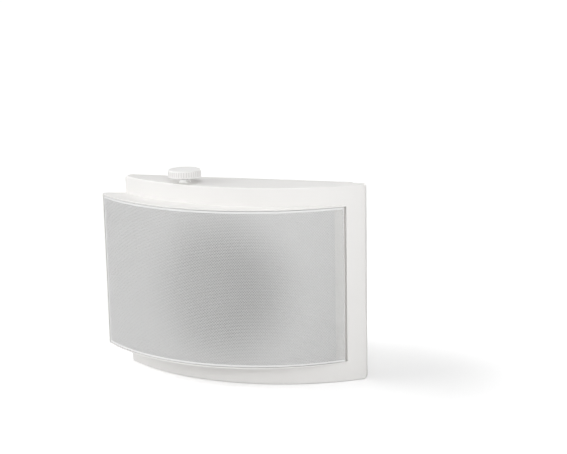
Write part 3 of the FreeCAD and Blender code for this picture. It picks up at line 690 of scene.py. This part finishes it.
tree, sockets = web_tree()
for place, piece in enumerate(grille):
    web = piece.modifiers.new("web", "NODES")
    web.node_group = tree
    middle = first_column + (place * length_columns + (length_columns - 1) / 2) * hole_pitch
    shift = (middle, (first_row + last_row) / 2, 0.0)
    values = {"Tile": tile, "Finish": grille_white, "Columns": length_columns, "Rows": rows,
              "Pitch": hole_pitch, "Row Pitch": row_pitch, "Thickness": sheet_thickness,
              "Radius": sheet_radius, "Shift": shift, "Middle Angle": angle_middle,
              "Axis": frame_axis}
    for label, value in values.items():
        web[sockets[label]] = value
    bake(piece, web)
    piece.data.materials.clear()
    piece.data.materials.append(grille_white)
    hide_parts("grille")
    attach(piece, "housing")
    print(piece.name, "triangles", sum(len(p.vertices) - 2 for p in piece.data.polygons))
bpy.data.objects.remove(tile)

# %% [markdown]
# The dust cloth is a rectangle that is cut from a roll and glued flat to the back of the sheet,
# so it takes the sheet's bend and hardly stretches. A cloth simulation would leave it as it is,
# so it is drawn as a thin closed strip in the sheet's own coordinates. Its UV map is in metres
# along the arc and up, which keeps the threads square to the edges. It ends where the housing
# comes up close behind the sheet.

# %% Dust cloth behind the grille
cloth_left, cloth_right = -141.5 * mm, 96.0 * mm
cloth_half_height = 73.0 * mm
cloth_gap, cloth_thickness = 0.05 * mm, 0.35 * mm


def cloth_strip(name, u0, u1, half_high, front, back, material):
    """Thin cloth between two places along the arc, with a UV map that lies flat."""
    shape = bmesh.new()
    bar(shape, u0, u1, -half_high, half_high, back, front)
    bmesh.ops.recalc_face_normals(shape, faces=shape.faces)
    flat = shape.loops.layers.uv.new("cloth_flat")
    for face in shape.faces:
        for loop in face.loops:
            place = loop.vert.co - frame_axis
            angle = math.atan2(place.x, -place.y) - angle_middle
            loop[flat].uv = (angle * sheet_radius, place.z)
    mesh = bpy.data.meshes.new(name)
    shape.to_mesh(mesh)
    shape.free()
    mesh.materials.append(material)
    piece = bpy.data.objects.new(name, mesh)
    scene.collection.objects.link(piece)
    return piece


cloth_front = -sheet_thickness - cloth_gap
cloth_back = cloth_front - cloth_thickness
cloth_radius = sheet_radius + cloth_front
cloth_ends = [(math.asin((x - frame_axis.x) / cloth_radius) - angle_middle) * sheet_radius
              for x in (cloth_left, cloth_right)]
cloth = cloth_strip("dust_cloth", *cloth_ends, cloth_half_height, cloth_front, cloth_back, scrim)
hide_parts("grille_cloth")
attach(cloth, "housing")

# %% [markdown]
# The roll of rubber round the cone and the corrugated spider behind it bend when the cone moves:
# their inner edges travel with it and their outer edges stay. Each is turned from a smooth
# profile about the driver's axis.

# %% Soft rings of the driver
def turned_ring(name, profile, steps, material):
    """Ring turned about the driver's axis from a closed profile of radius and depth in mm."""
    shape = bmesh.new()
    rings = []
    for index in range(steps):
        angle = 2 * math.pi * index / steps
        way = Vector((math.cos(angle), 0, math.sin(angle)))
        rings.append([shape.verts.new(driver_seat + way * radius * mm + Vector((0, depth * mm, 0)))
                      for radius, depth in profile])
    for index in range(steps):
        a, b = rings[index], rings[(index + 1) % steps]
        for point in range(len(profile)):
            after = (point + 1) % len(profile)
            shape.faces.new((a[point], a[after], b[after], b[point]))
    bmesh.ops.recalc_face_normals(shape, faces=shape.faces)
    mesh = bpy.data.meshes.new(name)
    shape.to_mesh(mesh)
    shape.free()
    mesh.materials.append(material)
    for face in mesh.polygons:
        face.use_smooth = True
    piece = bpy.data.objects.new(name, mesh)
    scene.collection.objects.link(piece)
    return piece


def flex(piece):
    """Bake the ring's placement into its mesh."""
    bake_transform(piece)


# %% Rubber roll
roll_inner, roll_outer = 44.0, 52.0


def roll_profile(inner, outer, land=-2.2, rubber=0.7, lip=3.0, rim=56.0, steps=14):
    """Half round of rubber with a lip towards the cone and a flat rim, in millimetres."""
    middle, radius = (inner + outer) / 2, (outer - inner) / 2
    front, thin = land - rubber, radius - rubber
    angles = [math.pi * index / steps for index in range(steps + 1)]
    over = [(middle - radius * math.cos(a), front - radius * math.sin(a)) for a in angles]
    under = [(middle + thin * math.cos(a), front - thin * math.sin(a)) for a in angles]
    outer_rim = [(rim, front), (rim, land), (middle + thin, land)]
    inner_lip = [(middle - thin, land), (inner - lip, land)]
    return [(inner - lip, front)] + over + outer_rim + under + inner_lip


roll_shape = roll_profile(roll_inner, roll_outer)
roll = turned_ring("rubber_roll", roll_shape, steps=120, material=roll_rubber)
flex(roll)
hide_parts("surround")
print("roll triangles", 2 * len(roll.data.polygons))

# %% Spider cloth
def spider_profile(inner=12.7, outer=29.8, lip=33.8, back=12.95, height=1.6, waves=4, cloth=0.5,
                   steps=8):
    """Corrugated cloth from the former out to a flat lip, in millimetres."""
    rear = []
    for index in range(waves * steps + 1):
        share = index / (waves * steps)
        ripple = height / 2 * (1 - math.cos(2 * math.pi * waves * share))
        rear.append((inner + (outer - inner) * share, back - ripple))
    rear.append((lip, back))
    return rear + [(radius, depth - cloth) for radius, depth in reversed(rear)]


spider = turned_ring("spider_disc", spider_profile(), steps=96, material=spider_cloth)
flex(spider)
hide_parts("spider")
print("spider triangles", 2 * len(spider.data.polygons))

# %% [markdown]
# The studio is a white sweep. The floor takes the shadow as a pale matt surface and shows the
# camera some light of its own, so that it reads as white where nothing shades it. That light is
# weaker in a round at the right front of the speaker, a painted shade that darkens the floor there
# and leaves the real soft shadow in sight. It reaches only the camera, mirrors and glass, never the
# speaker. The world does the same for the backdrop.

# %% Floor and backdrop
def eye_rays(tree):
    """One where a ray comes from the camera, a mirror or glass, and nought elsewhere."""
    path = tree.nodes.new("ShaderNodeLightPath")
    total = path.outputs["Is Camera Ray"]
    for label in ("Is Glossy Ray", "Is Transmission Ray"):
        either = tree.nodes.new("ShaderNodeMath")
        either.operation = "MAXIMUM"
        tree.links.new(total, either.inputs[0])
        tree.links.new(path.outputs[label], either.inputs[1])
        total = either.outputs[0]
    return total


floor_reach, floor_drop = 12.0, 0.0002
# Painted shade: the floor's own light is weaker inside this round.
shade_centre = (0.1, -0.04, 0.0)
shade_inner, shade_outer = 0.1, 0.25


def studio_floor(near, far):
    """Pale floor whose own light rises from near to far, leaving a round of painted shade where the
    shadow falls.
    """
    material = bpy.data.materials.new("floor_paper")
    material.use_nodes = True
    tree = material.node_tree
    tree.nodes.remove(tree.nodes["Principled BSDF"])
    paper = add(tree, "ShaderNodeBsdfDiffuse", Color=(0.8, 0.8, 0.8, 1.0))
    light = tree.nodes.new("ShaderNodeEmission")
    strength = tree.nodes.new("ShaderNodeMath")
    strength.operation = "MULTIPLY"
    span = tree.nodes.new("ShaderNodeVectorMath")
    span.operation = "DISTANCE"
    span.inputs[1].default_value = shade_centre
    glow = add(tree, "ShaderNodeMapRange", From_Min=shade_inner, From_Max=shade_outer, To_Min=near,
               To_Max=far)
    glow.interpolation_type = "SMOOTHSTEP"
    tree.links.new(tree.nodes.new("ShaderNodeTexCoord").outputs["Object"], span.inputs[0])
    tree.links.new(span.outputs["Value"], glow.inputs["Value"])
    tree.links.new(glow.outputs["Result"], strength.inputs[1])
    tree.links.new(eye_rays(tree), strength.inputs[0])
    tree.links.new(strength.outputs[0], light.inputs["Strength"])
    both = tree.nodes.new("ShaderNodeAddShader")
    tree.links.new(paper.outputs[0], both.inputs[0])
    tree.links.new(light.outputs[0], both.inputs[1])
    tree.links.new(both.outputs[0], tree.nodes["Material Output"].inputs["Surface"])
    mesh = bpy.data.meshes.new("floor")
    sides = ((-1, -1), (1, -1), (1, 1), (-1, 1))
    corners = [(x * floor_reach, y * floor_reach, -floor_drop) for x, y in sides]
    mesh.from_pydata(corners, [], [(0, 1, 2, 3)])
    mesh.materials.append(material)
    floor = bpy.data.objects.new("floor", mesh)
    scene.collection.objects.link(floor)


def backdrop(ambient):
    """World that is white to the eye and gives the speaker only the ambient level."""
    world = bpy.data.worlds.new("studio_air")
    world.use_nodes = True
    tree = world.node_tree
    sky = tree.nodes["Background"]
    sky.inputs["Color"].default_value = (1.0, 1.0, 1.0, 1.0)
    level = add(tree, "ShaderNodeMapRange", To_Min=ambient, To_Max=1.0)
    tree.links.new(eye_rays(tree), level.inputs["Value"])
    tree.links.new(level.outputs["Result"], sky.inputs["Strength"])
    scene.world = world


ambient_level = 0.0
floor_glow = (0.25, 0.52)
studio_floor(*floor_glow)
backdrop(ambient_level)
print("ambient", ambient_level, "floor glow", floor_glow)

# %% [markdown]
# The light is soft. A wide sun low at the left and one overhead do most of the work, so shadows
# fall to the right. Near boxes at the upper right and the right lift the right half of the front
# and its top edge, and a low sun behind shows the back. Strengths are written so that 1 on a
# surface that faces the lamp renders a colour as it stands.

# %% Lamps
box_target = Vector((-0.02, -0.05, 0.1))


def aim(lamp, towards):
    """Turn a lamp's light away from a direction that it is seen in."""
    lamp.rotation_mode = "QUATERNION"
    lamp.rotation_quaternion = Vector(towards).to_track_quat("Z", "Y")
    scene.collection.objects.link(lamp)


def soft_sun(name, azimuth, elevation, strength, width):
    """Distant lamp at an azimuth from the front and an elevation, all angles in degrees."""
    data = bpy.data.lights.new(name, "SUN")
    data.energy = strength * math.pi
    data.angle = math.radians(width)
    a, e = math.radians(azimuth), math.radians(elevation)
    aim(bpy.data.objects.new(name, data),
        (math.sin(a) * math.cos(e), -math.cos(a) * math.cos(e), math.sin(e)))


def soft_box(name, place, size, strength):
    """Square lamp near the object, whose strength counts at the middle of the grille."""
    data = bpy.data.lights.new(name, "AREA")
    data.size = size
    away = Vector(place) - box_target
    data.energy = strength * math.pi ** 2 * away.length_squared
    lamp = bpy.data.objects.new(name, data)
    lamp.location = place
    aim(lamp, away)


# Suns: azimuth, elevation, strength and width. Boxes: place, size and strength.
suns = {"side": (-75.0, 20.0, 0.6, 40.0), "overhead": (0.0, 80.0, 0.39, 60.0),
        "front": (30.0, 20.0, 0.1, 40.0), "rear": (170.0, 8.0, 0.5, 30.0)}
boxes = {"upper_right": ((0.3, -0.5, 0.45), 0.3, 0.265), "right": ((0.6, -0.6, 0.25), 0.4, 0.165),
         "left": ((-0.6, -0.45, 0.2), 0.4, 0.05), "upper_left": ((-0.3, -0.45, 0.4), 0.3, 0.03)}
for name, values in suns.items():
    soft_sun(name, *values)
for name, values in boxes.items():
    soft_box(name, *values)
scene.view_settings.view_transform = "Standard"
print("suns", suns, "boxes", boxes)
